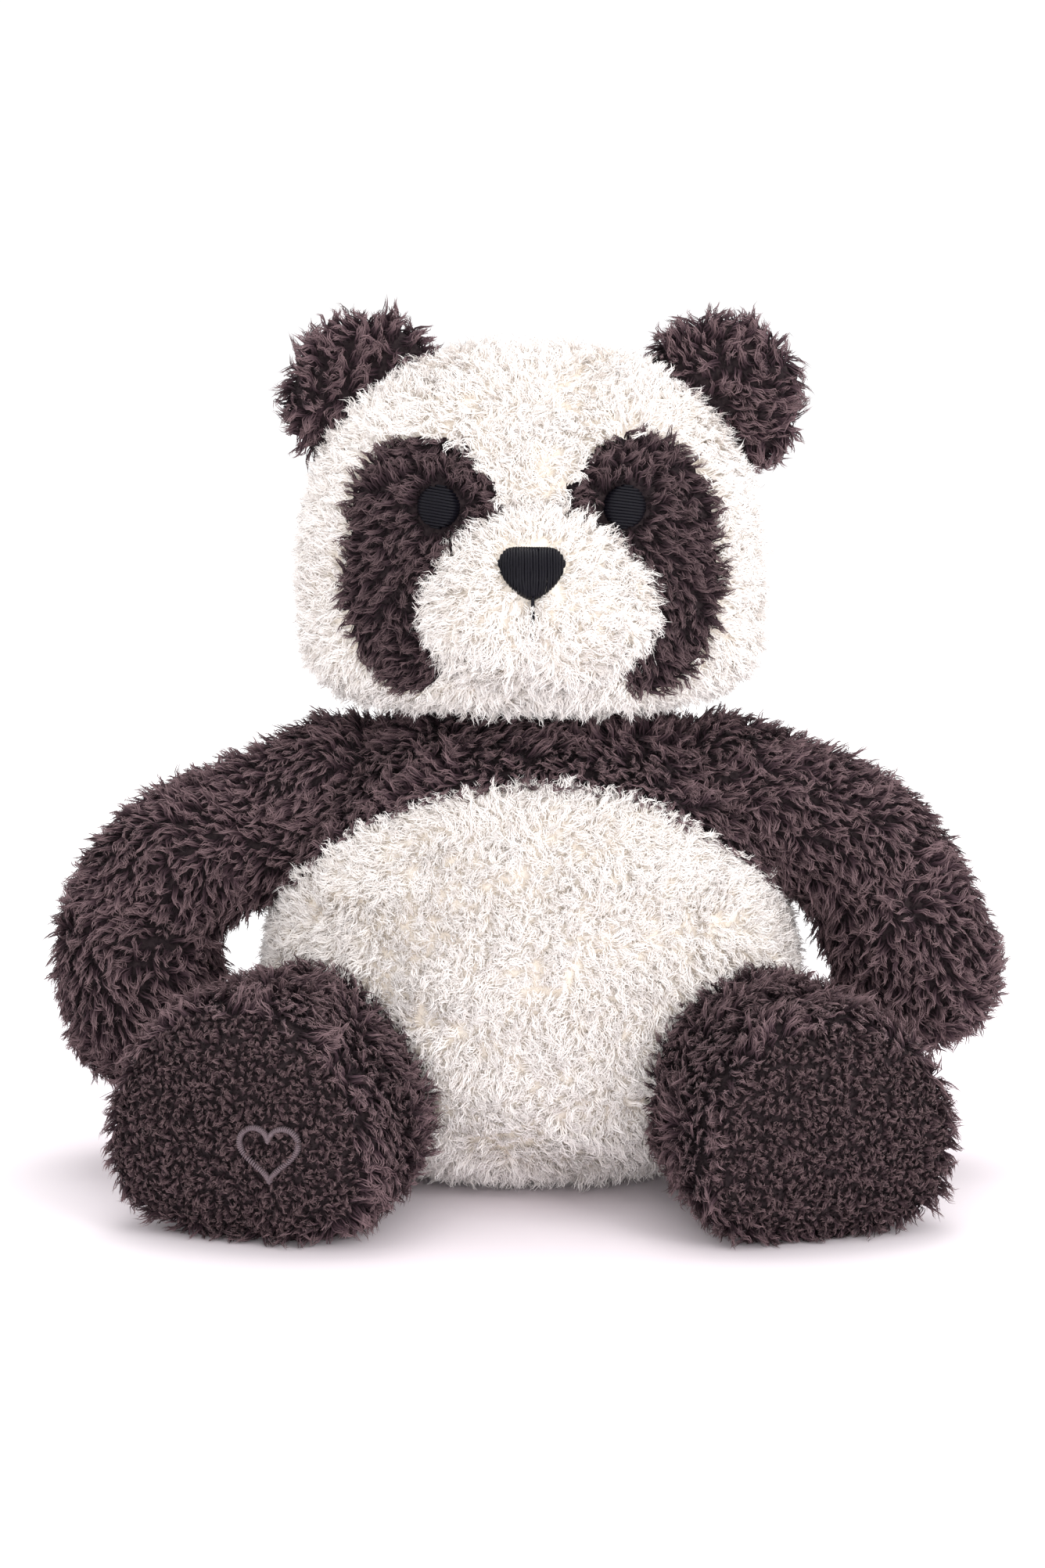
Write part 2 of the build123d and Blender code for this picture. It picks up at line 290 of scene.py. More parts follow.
def torso_shape():
    levels, share = heights(TORSO_LOW[2] + 0.4, BELLY_HEIGHT, TORSO_HIGH[2] + NECK_ROOT)
    relative = np.where(
        share < 0, superellipse(share, SEAT_POWER), (1 - np.abs(share) ** SHOULDER_POWER).clip(0) ** 0.5
    )
    half_width = (TORSO_HIGH[0] - TORSO_LOW[0]) / 2 - SKIN_INSET
    half_depth = (TORSO_HIGH[1] - TORSO_LOW[1]) / 2 - SKIN_INSET
    square = superellipse(share, YOKE_POWER) * (1 - YOKE_TAPER * share.clip(0) ** 2)
    across = np.where(share > 0, np.maximum(relative, square), relative)
    return stacked("torso_skin", levels, half_width * across, half_depth * relative, (0, 0), WAIST_POWER)


# Muzzle: a bell seen from the front, domed forwards, with a crease down from the nose
MUZZLE_HEIGHT = 172.0
MUZZLE_RISE, MUZZLE_DROP = 33.0, 21.5
MUZZLE_WIDEN = 2.0
MUZZLE_SKEW = 2.0  # how far the muzzle's rim is off to the panda's left
MUZZLE_ROOT, MUZZLE_BURIED = 24.0, 4.0  # where its rim meets the face, and how far it goes on into the head
PEAKED, BLUNT = 1.15, 0.85  # its outline comes to a soft peak above and is blunt below


def muzzle_shape():
    half_width = (MUZZLE_HIGH[0] - MUZZLE_LOW[0]) / 2 + MUZZLE_WIDEN
    front = MUZZLE_LOW[1] + SKIN_INSET - 0.5
    back = HEAD_LOW[1] + MUZZLE_ROOT
    turn = turns(72)
    upper = np.sin(turn) > 0
    up = np.where(upper, np.abs(np.sin(turn)) ** PEAKED * MUZZLE_RISE, np.sin(turn) * MUZZLE_DROP)
    across = signed_power(np.cos(turn), np.where(upper, PEAKED, BLUNT)) * half_width

    def ring(reach, y):
        return np.stack([reach * (across + MUZZLE_SKEW), np.full(72, y), MUZZLE_HEIGHT + reach * up], 1)

    swells = np.linspace(0, np.pi / 2, 18)[1:]
    rings = [ring(np.sin(swell), back + (front - back) * np.cos(swell) ** 0.75) for swell in swells]
    rings += [ring(shrink, back + MUZZLE_BURIED) for shrink in (0.9, 0.7, 0.4)]
    tip = np.array([0, front, MUZZLE_HEIGHT])
    root = np.array([0, back + MUZZLE_BURIED, MUZZLE_HEIGHT])
    return lathe_mesh("muzzle_skin", [tip, *rings, root])


# Ears: flat discs, dished in front
EAR_ACROSS = {"left": 56.0, "right": -49.0}  # the right ear sits a little further in
EAR_HEIGHT, EAR_POWER, EAR_DISH = 231.0, 2.6, 2.2


def ear_shape(name):
    low, high = box_mm("ear_front_" + name, "ear_back_" + name)
    radius = (high[2] - EAR_HEIGHT) + 0.5
    centre = np.array([EAR_ACROSS[name], (low[1] + high[1]) / 2, EAR_HEIGHT])
    thick = (high[1] - low[1]) / 2 - 0.5
    levels = np.sin(np.linspace(-np.pi / 2, np.pi / 2, 22))
    turn = turns(56)
    rings = []
    for level in levels:
        wide = radius * superellipse(level, EAR_POWER)
        dish = EAR_DISH * (1 - (wide / radius) ** 2)
        y = centre[1] + level * thick + dish * (level < 0)
        across, up = wide * np.cos(turn), wide * np.sin(turn)
        rings.append(np.stack([centre[0] + across, np.full(56, y), centre[2] + up], 1))
    rings[0] = centre + (0, -thick + EAR_DISH, 0)
    rings[-1] = centre + (0, thick, 0)
    return lathe_mesh("ear_skin_" + name, rings)


# Arms: the same bent line as the CAD tube's
ELBOWS = {"left": ((101.0, -2.0, 100.0), 45.0), "right": ((-131.0, -2.0, 82.0), 36.0)}
HANDS = {"left": (117.0, -4.0, 60.0), "right": (-116.0, -4.0, 48.0)}
ARM_SLIM, SLIMMEST = 0.88, 0.35  # the arm at its slimmest, as a share of the hand, and how far along that is
SHOULDER_FILL = 0.8  # how much of that slimming the shoulder makes up
PAW_SWELL = 1.09  # the hand, as a share of the CAD tube's thickness


def bent_line(start, corner, end, bend, step=4.0):
    """Points along two straight runs joined by an arc."""
    start, corner, end = (np.array(p, float) for p in (start, corner, end))
    into, out = unit(corner - start), unit(end - corner)
    half_turn = np.arccos(np.clip(into @ out, -1, 1)) / 2
    cut = bend * np.tan(half_turn)
    arc_in, arc_out = corner - into * cut, corner + out * cut
    inward = unit(arc_out + arc_in - 2 * corner)
    middle = corner + inward * bend / np.cos(half_turn)
    first = np.arange(0, np.linalg.norm(arc_in - start), step)
    last = np.arange(0, np.linalg.norm(end - arc_out), step)
    swing = np.linspace(-half_turn, half_turn, max(4, int(2 * half_turn * bend / step)))
    apex, tangent = -inward * bend, unit(arc_out - arc_in)
    arc = middle + np.cos(swing)[:, None] * apex + np.sin(swing)[:, None] * tangent * bend
    return np.concatenate([start + first[:, None] * into, arc, end - last[::-1, None] * out])


def arm_shape(name):
    low, high = box_mm("arm_front_" + name, "arm_back_" + name)
    elbow, bend = ELBOWS[name]
    shoulder = joint_place(f"arm_{name}_lift")
    radius = PAW_SWELL * ((high[1] - low[1] - abs(HANDS[name][1] - shoulder[1])) / 2 - SKIN_INSET)
    line = bent_line(shoulder, elbow, HANDS[name], bend)
    lengths = np.concatenate([[0], np.cumsum(np.linalg.norm(np.diff(line, axis=0), axis=1))])
    share = lengths / lengths[-1]
    towards_shoulder = (1 - share / SLIMMEST) ** 2 * SHOULDER_FILL
    towards_hand = (share - SLIMMEST) / (1 - SLIMMEST)
    swell = radius * (ARM_SLIM + (1 - ARM_SLIM) * np.where(share < SLIMMEST, towards_shoulder, towards_hand))
    cap = np.linspace(0, np.pi / 2, 9)[:-1]
    first, last = unit(line[1] - line[0]), unit(line[-1] - line[-2])
    head = line[0] - np.outer(np.cos(cap) * swell[0], first)
    tail = line[-1] + np.outer(np.sin(cap[1:]) * swell[-1], last)
    end = line[-1] + last * swell[-1]
    places = np.concatenate([head, line, tail, [end]])
    radii = np.concatenate([np.sin(cap) * swell[0], swell, np.cos(cap[1:]) * swell[-1], [0]])
    return along("arm_skin_" + name, places, radii, BACKWARDS), line


# Legs: a cone from the hip's ball to a blunt crowned sole
LEG_LENGTH = 84.0
LEG_SPLAY = np.radians(20)
HIP_RADIUS, SOLE_RADIUS = 28.0, 36.5
CALF_SWELL = 1.5
SOLE_CORNER, SOLE_CROWN, SOLE_SEAM = 9.0, 3.5, 6.0
SOLE_WIDEN = 1.15  # the sole is a little wider than it is high
SOLE_LOWER_POWER = 3.0  # and squarer below than above
SOLE_LOWER = {"left": 0.89, "right": 0.955}  # each sole's height, as a share of the round one's
THIGH_BULGE = {"left": 0.0, "right": 7.0}  # how much fuller the leg is on its inner side


def leg_axis(name):
    """The hip's centre and the way out to the sole."""
    out = np.array([SIDES[name] * np.sin(LEG_SPLAY), -np.cos(LEG_SPLAY), 0])
    return joint_place(f"leg_{name}_splay"), out


def leg_shape(name):
    side, (hip, out) = SIDES[name], leg_axis(name)
    hip_radius, rim = HIP_RADIUS - SKIN_INSET, SOLE_RADIUS - SKIN_INSET
    face = LEG_LENGTH - SKIN_INSET
    cap = np.linspace(0, np.pi / 2, 9)[:-1]
    run = np.linspace(0, 1, 16)
    corner = np.linspace(0, np.pi / 2, 6)[1:]
    crown = np.linspace(1, 0, 9)[1:]
    flat = rim - SOLE_CORNER
    places = np.concatenate([
        -hip_radius * np.cos(cap),
        run * (face - SOLE_CORNER),
        face - SOLE_CORNER + SOLE_CORNER * np.sin(corner),
        face + SOLE_CROWN * (1 - crown**2),
    ])
    radii = np.concatenate([
        hip_radius * np.sin(cap),
        hip_radius + (rim - hip_radius) * run + CALF_SWELL * np.sin(np.pi * run),
        flat + SOLE_CORNER * np.cos(corner),
        flat * crown,
    ])
    leg = along("leg_skin_" + name, hip + places[:, None] * out, radii, UP)
    points = points_of(leg)
    length = (points - hip) @ out
    level = np.cross(UP, out)
    share = np.clip(length / LEG_LENGTH, 0, 1)
    aside, up = (points - hip) @ level, points[:, 2] - hip[2]
    radius = np.maximum(np.hypot(aside, up), 1e-6)
    power = 2 + (SOLE_LOWER_POWER - 2) * share * np.clip(-up / radius * 2 + 0.3, 0, 1)
    square = (np.abs(aside / radius) ** power + np.abs(up / radius) ** power) ** (-1 / power)
    lowness = np.clip(0.7 - up / rim, 0, 1.4)
    inner = np.clip(-side * aside / radius, 0, 1) * np.sin(np.pi * share) * lowness
    across = aside * square * (1 + (SOLE_WIDEN - 1) * share * lowness) - side * THIGH_BULGE[name] * inner
    high = (hip[2] + up * square) * (1 - (1 - SOLE_LOWER[name]) * share)
    moved = hip + length[:, None] * out + across[:, None] * level
    moved[:, 2] = high
    move_points(leg, moved)
    return leg


def neck_shape():
    low, high = box_mm("neck_stuffing")
    radius = (high[2] - low[2]) / 2 - 0.5
    share = np.linspace(-np.pi / 2, np.pi / 2, 20)
    levels = NECK[2] + radius * np.sin(share)
    wide = radius * np.cos(share)
    return stacked("neck_skin", levels, wide, wide, (NECK[0], NECK[1]), 2.0)


# ---- pile
def triangles_of(obj):
    """Corner numbers of the skin's triangles."""
    obj.data.calc_loop_triangles()
    return read(obj.data.loop_triangles, "vertices", np.int32)


def depth_inside(name, points):
    """How far each point is inside a skin, in millimetres (negative outside)."""
    out = np.empty(len(points))
    for i, point in enumerate(points):
        near, normal, _, _ = trees[name].find_nearest(Vector(point))
        out[i] = (near - Vector(point)).dot(normal)
    return out


def spaced_out(points, spacing):
    """Which points are left when they are thinned out, in random order, to no two within the spacing."""
    tree = KDTree(len(points))
    for i, point in enumerate(points):
        tree.insert(point, i)
    tree.balance()
    free = np.ones(len(points), bool)
    kept = []
    for i in rng.permutation(len(points)):
        if free[i]:
            kept.append(i)
            free[[j for _, j, _ in tree.find_range(points[i], spacing)]] = False
    return kept


def roots_on(name, spacing):
    """Evenly scattered places on a skin, about one spacing apart, with the skin's normal at each."""
    points, normals, corners = (values(skins[name]) for values in (points_of, normals_of, triangles_of))
    a, b, c = (points[corners[:, i]] for i in range(3))
    area = np.linalg.norm(np.cross(b - a, c - a), axis=1) / 2
    count = np.floor(area * CANDIDATES / spacing**2 + rng.random(len(area))).astype(int)
    face = np.repeat(np.arange(len(area)), count)
    u, v = rng.random((2, len(face)))
    flip = u + v > 1
    u, v = np.where(flip, 1 - u, u), np.where(flip, 1 - v, v)
    weights = np.stack([1 - u - v, u, v], 1)[:, :, None]
    places = (points[corners[face]] * weights).sum(1)
    turned = unit((normals[corners[face]] * weights).sum(1))
    kept = spaced_out(places, spacing * CLEARANCE)
    return places[kept], turned[kept]


def grow(name, roots, normals, comb, kind, fibre, body):
    """Locks of wavy fibres grown at the roots, split over as many pieces as the face limit asks."""
    parts = int(np.ceil(len(roots) / kind["locks_in_piece"]))
    order = np.argsort(roots[:, 2] + 0.3 * roots[:, 0])
    for part in range(parts):
        chosen = order[part * len(order) // parts : (part + 1) * len(order) // parts]
        full = name if parts == 1 else f"{name}_{part + 1}"
        obj = locks(full, roots[chosen], normals[chosen], comb[chosen], kind)
        obj.data.materials.append(fibre)
        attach(obj, body)


def tufts_of(roots, spacing):
    """For each lock, the lock that its tuft gathers round; the middles of two tufts are a spacing apart."""
    chosen = spaced_out(roots, spacing)
    middles = KDTree(len(chosen))
    for i in chosen:
        middles.insert(roots[i], i)
    middles.balance()
    return np.array([middles.find(root)[1] for root in roots])


def locks(name, roots, normals, comb, kind):
    """One mesh of locks: each is a few flat tapering fibres round one curling line, closer at the tip."""
    count, fibres, steps = len(roots), kind["fibres"], kind["steps"]
    tuft = tufts_of(roots, kind["tuft"])
    comb = 0.35 * comb + 0.65 * comb[tuft]
    gather = (roots[tuft] - roots) * kind["gather"]
    lie = unit(comb - (comb * normals).sum(1, keepdims=True) * normals)
    aside = np.cross(normals, lie)
    share = np.linspace(0, 1, steps + 1)
    length = kind["length"] * rng.uniform(0.72, 1.2, count)
    lean = np.radians(kind["lean"]) + rng.normal(0, 0.22, count)
    bow = np.radians(kind["bow"]) * rng.uniform(0.4, 1.5, count)
    veer = rng.normal(0, kind["veer"], count)
    swing = rng.uniform(0.4, 1.0, count) * kind["curl"]
    phase = rng.uniform(0, 2 * np.pi, count)
    tilt = lean[:, None] + bow[:, None] * share
    turn = veer[:, None] * share + swing[:, None] * np.sin(2 * np.pi * kind["waves"] * share + phase[:, None])
    out, flat = np.cos(tilt)[..., None], np.sin(tilt)[..., None]
    way = out * normals[:, None] + flat * (
        np.cos(turn)[..., None] * lie[:, None] + np.sin(turn)[..., None] * aside[:, None]
    )
    way += DOWN * kind["droop"] * share[None, :, None]
    step = (unit(way) * (length / steps)[:, None, None])[:, :-1]
    line = np.concatenate([np.zeros((count, 1, 3)), np.cumsum(step, axis=1)], axis=1)
    line += gather[:, None] * share[None, :, None] ** 1.3

    angle = rng.uniform(0, 2 * np.pi, (count, fibres, 1, 1))
    reach = kind["root_radius"] * np.sqrt(rng.random((count, fibres, 1, 1)))
    spread = reach * (np.cos(angle) * lie[:, None, None] + np.sin(angle) * aside[:, None, None])
    open_share = 1 - kind["clump"] * share[None, None, :, None]
    frizz_angle = rng.uniform(0, 2 * np.pi, (count, fibres, 1))
    ripples = rng.uniform(0.7, 1.6, (count, fibres, 1))
    frizz = kind["frizz"] * np.sin(2 * np.pi * ripples * share + frizz_angle)
    stretch = rng.uniform(0.7, 1.08, (count, fibres, 1, 1))
    fibre = roots[:, None, None] + stretch * line[:, None] + spread * open_share
    slant = unit(rng.normal(size=(count, fibres, 3)))[:, :, None]
    fibre = fibre + frizz[..., None] * share[None, None, :, None] * slant

    heading = unit(np.gradient(fibre, axis=2))
    facing = normals[:, None, None] + kind["flutter"] * rng.normal(size=(count, fibres, 1, 3))
    width_way = unit(np.cross(facing, heading))
    taper = kind["width"] / 2 * (1 - share[:-1] ** 2.2 * 0.75)
    left = fibre[:, :, :-1] - width_way[:, :, :-1] * taper[:, None]
    right = fibre[:, :, :-1] + width_way[:, :, :-1] * taper[:, None]
    edges = np.stack([left, right], 3).reshape(count, fibres, 2 * steps, 3)
    points = np.concatenate([edges, fibre[:, :, -1:]], 2).reshape(-1, 3)
    points[:, 2] = np.maximum(points[:, 2], FLOOR_GAP)

    per = 2 * steps + 1
    first = per * np.arange(count * fibres)
    rung = 2 * np.arange(steps - 1)
    quad = np.stack([rung, rung + 1, rung + 3, rung + 2], 1)
    quads = (first[:, None, None] + quad[None]).reshape(-1, 4)
    tips = first[:, None] + np.array([per - 3, per - 2, per - 1])
    obj = flat_mesh(name, points, [quads, tips], check=False)

    shade = (rng.integers(0, SHADES, count)[:, None] + rng.integers(-1, 2, (count, fibres))) % SHADES
    low, high = (shade.ravel() + 0.2) / SHADES, (shade.ravel() + 0.8) / SHADES
    up = 0.02 + 0.96 * share
    quad_u = np.stack([low, high, high, low], 1)[:, None].repeat(steps - 1, 1)
    quad_v = np.stack([up[:-2], up[:-2], up[1:-1], up[1:-1]], 1)[None].repeat(len(first), 0)
    tip_u = np.stack([low, high, (low + high) / 2], 1)
    tip_v = np.tile([up[-2], up[-2], up[-1]], (len(first), 1))
    u = np.concatenate([quad_u.ravel(), tip_u.ravel()])
    v = np.concatenate([quad_v.ravel(), tip_v.ravel()])
    layer = obj.data.uv_layers.new(name=UV_NAME)
    layer.data.foreach_set("uv", np.stack([u, v], 1).astype(np.float32).ravel())
    return obj


# ---- embroidery
def thread_runs(name, runs, sides=7):
    """Threads as one mesh. A run is its points, the way up at each, and its half width and half height."""
    points, quads, fans, base = [], [], [], 0
    turn = turns(sides)
    for places, normals, half_width, half_height in runs:
        tangents = unit(np.gradient(places, axis=0))
        across = unit(np.cross(tangents, normals))
        up = np.cross(across, tangents)
        ring = (
            places[:, None]
            + half_width * np.cos(turn)[None, :, None] * across[:, None]
            + half_height * np.sin(turn)[None, :, None] * up[:, None]
        )
        count = len(places)
        points.append(ring.reshape(-1, 3))
        row = sides * np.arange(count - 1)[:, None]
        here, after = np.arange(sides), (np.arange(sides) + 1) % sides
        quad = np.stack([row + here, row + after, row + sides + after, row + sides + here], 2)
        quads.append(base + quad.reshape(-1, 4))
        for start, flip in ((0, False), (sides * (count - 1), True)):
            fan = np.stack([np.full(sides - 2, start), start + here[2:], start + here[1:-1]], 1)
            fans.append(base + (fan[:, ::-1] if flip else fan))
        base += sides * count
    return flat_mesh(name, np.concatenate(points), [np.concatenate(quads), np.concatenate(fans)])


TUCK = 2.5  # how far the ends of a stitch go into the skin


def on_skin(name, places, heading):
    """Each place carried along the heading on to a skin, with the skin's normal there."""
    tree, hits, normals = trees[name], [], []
    for place in places:
        hit, normal, _, _ = tree.ray_cast(Vector(place), Vector(heading))
        if hit is None:
            hit, normal, _, _ = tree.find_nearest(Vector(place))
        hits.append(hit)
        normals.append(normal)
    return np.array(hits), np.array(normals)


def satin_patch(name, skin_name, spans, height, dome, thread_half, fade):
    """Rows of satin stitches over a padded, domed shape on the face. A span is one stitch's two ends, in
    front of the skin, and how far along the shape's breadth it lies (-1 to 1)."""
    runs = []
    for start, end, breadth in spans:
        share = np.linspace(0, 1, 15)
        wide = np.concatenate([[-0.04], share, [1.04]])[:, None]
        hits, normals = on_skin(skin_name, start + (end - start) * wide, BACKWARDS)
        middle = 2 * wide[:, 0] - 1
        rise = height * np.maximum(0, 1 - np.abs(middle) ** 8) ** 0.5 * (1 - np.abs(breadth) ** 10 * 0.6)
        rise += dome * np.maximum(0, 1 - middle**2 * (1 - fade * breadth**2) - breadth**2)
        rise[[0, -1]] = -TUCK
        lifted = hits + (normals * 0.5 - BACKWARDS * 0.5) * rise[:, None]
        runs.append((lifted, np.tile(-BACKWARDS, (len(lifted), 1)), thread_half, thread_half * 0.8))
    return thread_runs(name, runs)


def embroider(obj, thread, body, node):
    """Gives stitches their thread and their place in the frame."""
    obj.data.materials.append(thread)
    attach(obj, body)
    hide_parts(node)


# ---- materials
def new_material(name):
    """A material, its node tree, the call that links sockets, and its one Principled shader."""
    material = bpy.data.materials.new(name)
    material.use_nodes = True
    tree = material.node_tree
    return material, tree, tree.links.new, tree.nodes["Principled BSDF"]


def set_plain(node, **values):
    """Constants set straight on the node's own sockets."""
    for name, value in values.items():
        node.inputs[name.replace("_", " ")].default_value = value


def ramp(tree, stops):
    """A colour ramp node with these (place, colour) stops."""
    node = tree.nodes.new("ShaderNodeValToRGB")
    elements = node.color_ramp.elements
    for _ in stops[2:]:
        elements.new(0.5)
    for element, (place, colour) in zip(elements, stops):
        element.position = place
        element.color = (*colour, 1)
    return node


def math_node(tree, operation, source):
    """A maths node fed by a socket."""
    node = tree.nodes.new("ShaderNodeMath")
    node.operation = operation
    tree.links.new(source, node.inputs[0])
    return node


def pile_material(name, stops, shade_low, shade_high, sheen):
    """Fibre: a colour from root to tip, darker at the root as painted shade between the locks, and a little
    lighter or darker from lock to lock.
    """
    material, tree, link, shader = new_material(name)
    uv = tree.nodes.new("ShaderNodeUVMap")
    uv.uv_map = UV_NAME
    split = tree.nodes.new("ShaderNodeSeparateXYZ")
    link(uv.outputs["UV"], split.inputs["Vector"])
    gradient = ramp(tree, stops)
    link(split.outputs["Y"], gradient.inputs["Fac"])
    column = math_node(tree, "MULTIPLY", split.outputs["X"])
    column.inputs[1].default_value = SHADES
    whole = math_node(tree, "FLOOR", column.outputs[0])
    white = tree.nodes.new("ShaderNodeTexWhiteNoise")
    white.noise_dimensions = "1D"
    link(whole.outputs[0], white.inputs["W"])
    shade = ramp(tree, [(0.0, shade_low), (1.0, shade_high)])
    link(white.outputs["Value"], shade.inputs["Fac"])
    mix = tree.nodes.new("ShaderNodeMix")
    mix.data_type = "RGBA"
    mix.blend_type = "MULTIPLY"
    set_plain(mix, Factor=1.0)
    link(gradient.outputs["Color"], mix.inputs["A"])
    link(shade.outputs["Color"], mix.inputs["B"])
    link(mix.outputs["Result"], shader.inputs["Base Color"])
    set_plain(shader, Roughness=0.88, Sheen_Weight=sheen, Sheen_Roughness=0.45, Specular_IOR_Level=0.12)
    return material


def grained_material(name, dark, light, scale, detail, blend, bump, roughness, gloss):
    """Two shades in a fine uneven grain, with its bump. The bump is its strength and its height in metres."""
    material, tree, link, shader = new_material(name)
    grain = tree.nodes.new("ShaderNodeTexNoise")
    set_plain(grain, Scale=scale, Detail=detail)
    link(tree.nodes.new("ShaderNodeTexCoord").outputs["Object"], grain.inputs["Vector"])
    colours = ramp(tree, [(0.5 - blend, dark), (0.5 + blend, light)])
    link(grain.outputs["Fac"], colours.inputs["Fac"])
    link(colours.outputs["Color"], shader.inputs["Base Color"])
    relief = tree.nodes.new("ShaderNodeBump")
    set_plain(relief, Strength=bump[0], Distance=bump[1])
    link(grain.outputs["Fac"], relief.inputs["Height"])
    link(relief.outputs["Normal"], shader.inputs["Normal"])
    set_plain(shader, Roughness=roughness, Specular_IOR_Level=gloss)
    return material


def cloth_material(name, dark, light, scale, roughness=0.9):
    """The knitted backing under the pile, or any plain cloth."""
    return grained_material(name, dark, light, scale, 4.0, 0.15, (0.5, 0.0008), roughness, 0.2)


def thread_material(name, dark, light, roughness):
    """Embroidery thread: fine streaks from filament to filament, with a soft gloss."""
    return grained_material(name, dark, light, 2600.0, 3.0, 0.2, (0.35, 0.0002), roughness, 0.16)


def paper_material():
    """Studio paper: a painted lilac shadow, darker under the panda and fading to white further out."""
    material, tree, link, shader = new_material("studio_paper")
    distance = tree.nodes.new("ShaderNodeVectorMath")
    distance.operation = "LENGTH"
    link(tree.nodes.new("ShaderNodeTexCoord").outputs["Object"], distance.inputs[0])
    # Painted shadow: darker lilac paper within a short reach of the panda.
    colours = ramp(tree, [(0.12, (0.94, 0.865, 0.91)), (0.36, (0.98, 0.975, 0.98))])
    link(distance.outputs["Value"], colours.inputs["Fac"])
    link(colours.outputs["Color"], shader.inputs["Base Color"])
    set_plain(shader, Roughness=0.8, Specular_IOR_Level=0.1)
    return material


# Pile colours from root to tip: the darker root is painted shade in the gaps between locks; the tip is the
# fibre's own colour.
WHITE_STOPS_SHADED_ROOT = [(0.0, (0.965, 0.905, 0.835)), (0.35, (0.970, 0.918, 0.882)), (0.75, (0.968, 0.928, 0.915))]
DARK_STOPS_SHADED_ROOT = [(0.0, (0.014, 0.007, 0.011)), (0.45, (0.076, 0.045, 0.055)), (1.0, (0.305, 0.205, 0.216))]
SOLE_STOPS_SHADED_ROOT = [(0.0, (0.015, 0.008, 0.011)), (0.5, (0.064, 0.039, 0.045)), (1.0, (0.190, 0.128, 0.132))]
white_fibre = pile_material("white_fibre", WHITE_STOPS_SHADED_ROOT, (0.97, 0.955, 0.94), (1.0, 1.0, 1.0), 0.2)
# The eye patches' pile is the dark fibre made darker: painted shade, so the lit face comes out no brighter
# than the arms.
shaded_patch_fibre = pile_material("shaded_patch_fibre", DARK_STOPS_SHADED_ROOT, (0.46, 0.45, 0.45), (0.68, 0.68, 0.68), 0.05)
dark_fibre = pile_material("dark_fibre", DARK_STOPS_SHADED_ROOT, (0.72, 0.70, 0.70), (1.0, 1.0, 1.0), 0.05)
sole_fibre = pile_material("sole_fibre", SOLE_STOPS_SHADED_ROOT, (0.72, 0.70, 0.70), (1.0, 1.0, 1.0), 0.04)
# The backing under the pile: its colour is partly the cloth's own and partly painted shade, as dark as the
# gaps between the locks.
white_backing_gap_shade = cloth_material("white_backing_gap_shade", (0.90, 0.81, 0.71), (0.95, 0.88, 0.81), 600.0)
dark_backing_gap_shade = cloth_material("dark_backing_gap_shade", (0.012, 0.007, 0.009), (0.03, 0.02, 0.022), 600.0)
black_thread = thread_material("black_satin_thread", (0.0016, 0.0014, 0.003), (0.006, 0.005, 0.010), 0.5)
mauve_thread = thread_material("mauve_thread", (0.10, 0.072, 0.082), (0.19, 0.145, 0.16), 0.6)
white_thread = thread_material("white_sewing_thread", (0.66, 0.62, 0.56), (0.85, 0.82, 0.78), 0.6)
lining = cloth_material("lining_weave", (0.5, 0.48, 0.44), (0.7, 0.68, 0.64), 1400.0)
pellet_plastic = cloth_material("pellet_plastic", (0.6, 0.6, 0.58), (0.8, 0.8, 0.78), 260.0, 0.4)

# ---- the skins, stuffed
skins = {"head": head_shape(), "muzzle": muzzle_shape(), "torso": torso_shape(), "neck": neck_shape()}
arm_lines = {}
for name in SIDES:
    skins["ear_" + name] = ear_shape(name)
    skins["arm_" + name], arm_lines[name] = arm_shape(name)
    skins["leg_" + name] = leg_shape(name)

for skin in skins.values():
    remesh(skin)
puff_together(list(skins.values()))


SEAM = (1.2, 2.5)  # how deep and how wide a plain seam draws the skin in
CREASE, CREASE_TOP = (3.2, 3.5), 182.0  # the crease down the muzzle from the nose
SOLE_DRAW = (1.6, 2.2)

seam_sink(skins["head"], points_of(skins["head"])[:, 1], *SEAM)
muzzle_points = points_of(skins["muzzle"])
below_nose = (muzzle_points[:, 2] < CREASE_TOP) & (muzzle_points[:, 1] < HEAD_LOW[1])
seam_sink(skins["muzzle"], np.where(below_nose, muzzle_points[:, 0], FAR), *CREASE)

YOKE_RADIUS, YOKE_CENTRE, YOKE_LOW = 90.0, 30.5, 60.0


def yoke_side(points):
    """How far above the seam between the dark yoke and the white belly each point is (negative below it)."""
    over = np.hypot(points[:, 0], points[:, 2] - YOKE_CENTRE) - YOKE_RADIUS
    return np.where(points[:, 2] > YOKE_LOW, over, -FAR)


seam_sink(skins["torso"], yoke_side(points_of(skins["torso"])), *SEAM)


def length_along(name, points):
    """Distance out from the hip along a leg."""
    hip, out = leg_axis(name)
    return (points - hip) @ out


for name in SIDES:
    length = length_along(name, points_of(skins["leg_" + name]))
    seam_sink(skins["leg_" + name], length - (LEG_LENGTH - SOLE_SEAM), *SOLE_DRAW)

for skin in skins.values():
    subdivision = skin.modifiers.new("smooth", "SUBSURF")
    subdivision.levels = 1
    apply_modifier(skin, subdivision)
    pressed_flat = points_of(skin)
    pressed_flat[:, 2] = np.maximum(pressed_flat[:, 2], FLOOR_GAP + 0.1)
    move_points(skin, pressed_flat)

trees = {
    name: BVHTree.FromPolygons(points_of(skin).tolist(), triangles_of(skin).tolist())
    for name, skin in skins.items()
}

